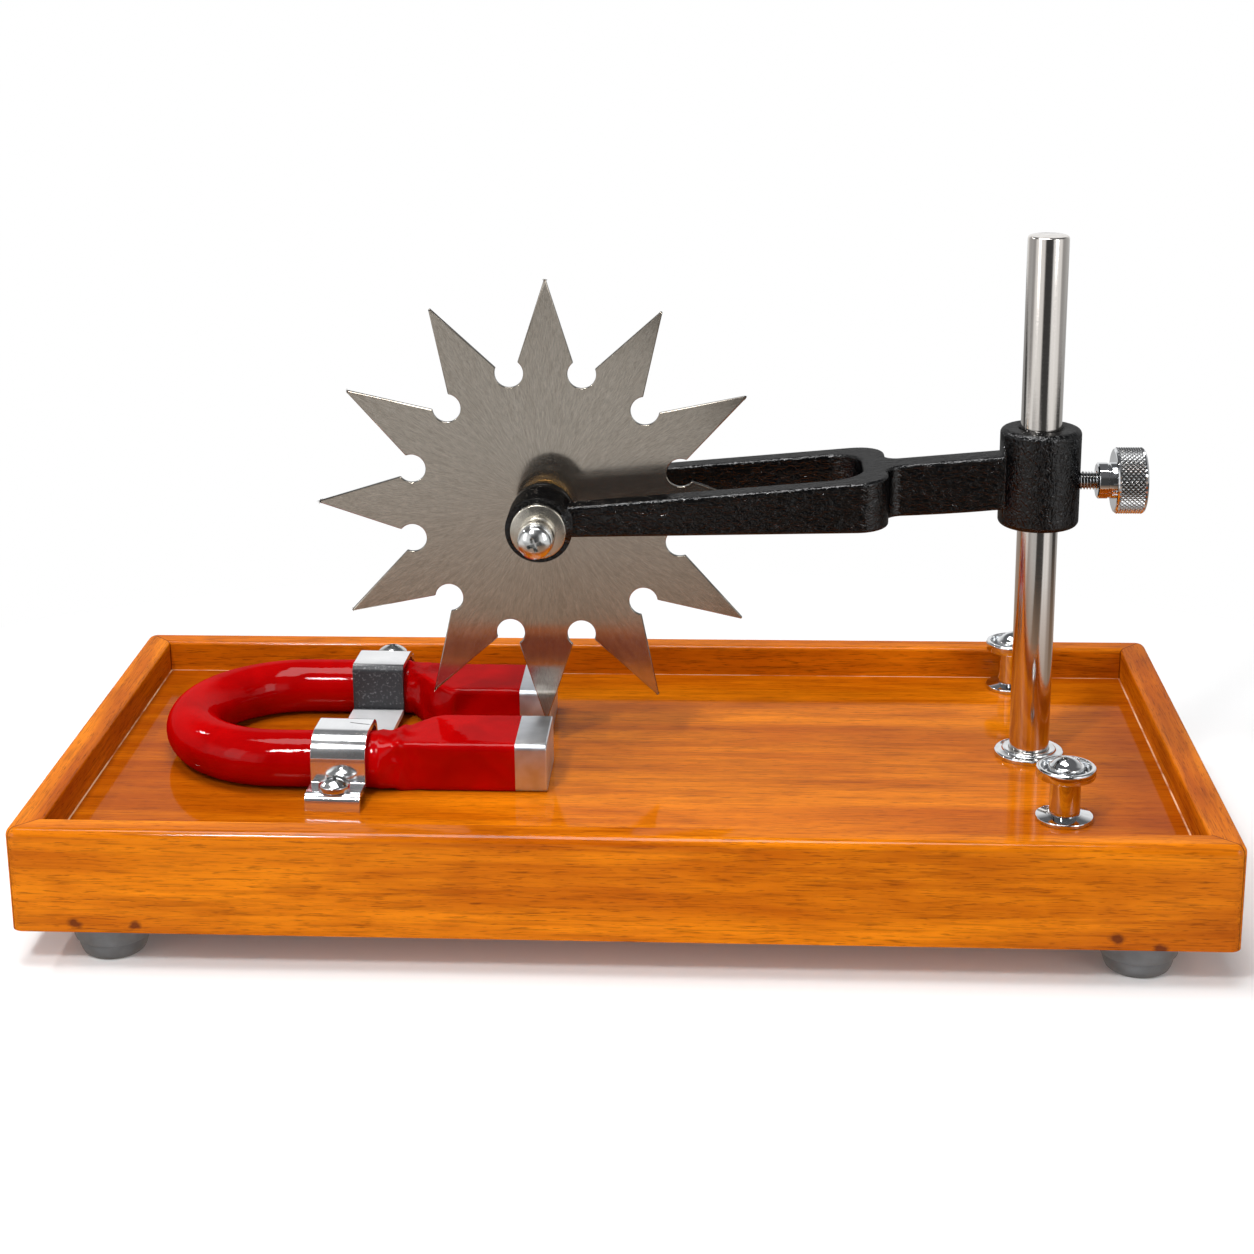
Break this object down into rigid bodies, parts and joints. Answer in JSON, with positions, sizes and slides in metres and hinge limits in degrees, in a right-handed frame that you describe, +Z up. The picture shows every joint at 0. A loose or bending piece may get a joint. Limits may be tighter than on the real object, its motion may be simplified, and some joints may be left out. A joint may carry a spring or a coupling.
{
  "type": "demonstration electric motor",
  "caption": "Star wheel on a horizontal axle in a fork arm, clamped to an upright rod, turning between the poles of a horseshoe magnet strapped to a varnished wooden tray on rubber feet.",
  "frame": {"origin": "bottom centre of the tray, on the plane that the rubber feet stand on", "axes": "+X along the tray towards the upright rod, +Y to the back, +Z up"},
  "size_m": [0.3, 0.15, 0.1695],
  "materials": {
    "varnished_wood": "gloss varnish",
    "grey_rubber": "matt moulded",
    "rod_steel": "ground and polished",
    "chrome": "bright plated",
    "plated_steel": "nickel plated",
    "black_paint": "gloss black stove enamel on a casting",
    "red_enamel": "gloss enamel with bare steel pole ends",
    "wheel_steel": "brushed sheet",
    "brass": "turned, bright",
    "axle_steel": "turned"
  },
  "bodies": {
    "base": {"tray_floor_board": "varnished_wood", "tray_rail_front": "varnished_wood", "tray_rail_back": "varnished_wood", "tray_rail_left": "varnished_wood", "tray_rail_right": "varnished_wood", "rubber_feet": "grey_rubber", "foot_screws": "plated_steel", "upright_rod": "rod_steel", "rod_flange": "chrome", "rod_washer": "plated_steel", "rod_nut": "plated_steel", "post_flanges": "chrome", "post_studs": "brass", "post_lower_washers": "plated_steel", "post_lower_nuts": "plated_steel", "horseshoe_magnet": "red_enamel", "magnet_strap": "plated_steel", "strap_screws": "plated_steel"},
    "arm": {"fork_arm": "black_paint"},
    "wheel": {"star_wheel": "wheel_steel", "wheel_hub_collars": "brass", "wheel_axle": "axle_steel", "axle_spacers": "black_paint", "axle_washers": "plated_steel", "axle_end_collars": "brass", "axle_spring_washers": "plated_steel", "axle_screws": "plated_steel"},
    "thumb_stud": {"thumb_screw_stud": "chrome"},
    "thumb_knob": {"thumb_screw_knob": "chrome"},
    "front_post_collar": {"post_front_collar": "chrome"},
    "front_post_nut": {"post_front_thumb_nut": "chrome"},
    "back_post_collar": {"post_back_collar": "chrome"},
    "back_post_nut": {"post_back_thumb_nut": "chrome"}
  },
  "joints": [
    {"name": "arm_height", "type": "slide", "parent": "base", "child": "arm", "axis": [0, 0, 1], "range_m": [-0.004, 0.045]},
    {"name": "wheel_spin", "type": "hinge", "parent": "arm", "child": "wheel", "pos_m": [-0.0217, 0.006, 0.0975], "axis": [0, 1, 0], "continuous": true},
    {"name": "thumb_screw_travel", "type": "slide", "parent": "arm", "child": "thumb_stud", "axis": [1, 0, 0], "range_m": [0, 0.003]},
    {"name": "thumb_screw_turn", "type": "hinge", "parent": "thumb_stud", "child": "thumb_knob", "pos_m": [0.13, 0.006, 0.1048], "axis": [1, 0, 0], "range_deg": [0, 1351]},
    {"name": "front_post_travel", "type": "slide", "parent": "base", "child": "front_post_collar", "axis": [0, 0, 1], "range_m": [0, 0.0025]},
    {"name": "front_post_turn", "type": "hinge", "parent": "front_post_collar", "child": "front_post_nut", "pos_m": [0.112, -0.038, 0.041], "axis": [0, 0, 1], "range_deg": [0, 1287]},
    {"name": "back_post_travel", "type": "slide", "parent": "base", "child": "back_post_collar", "axis": [0, 0, 1], "range_m": [0, 0.0025]},
    {"name": "back_post_turn", "type": "hinge", "parent": "back_post_collar", "child": "back_post_nut", "pos_m": [0.1095, 0.059, 0.041], "axis": [0, 0, 1], "range_deg": [0, 1287]}
  ],
  "couplings": [
    {"joint": "thumb_screw_turn", "follows": "thumb_screw_travel", "rad_per_m": 7854},
    {"joint": "front_post_turn", "follows": "front_post_travel", "rad_per_m": 8976},
    {"joint": "back_post_turn", "follows": "back_post_travel", "rad_per_m": 8976}
  ]
}
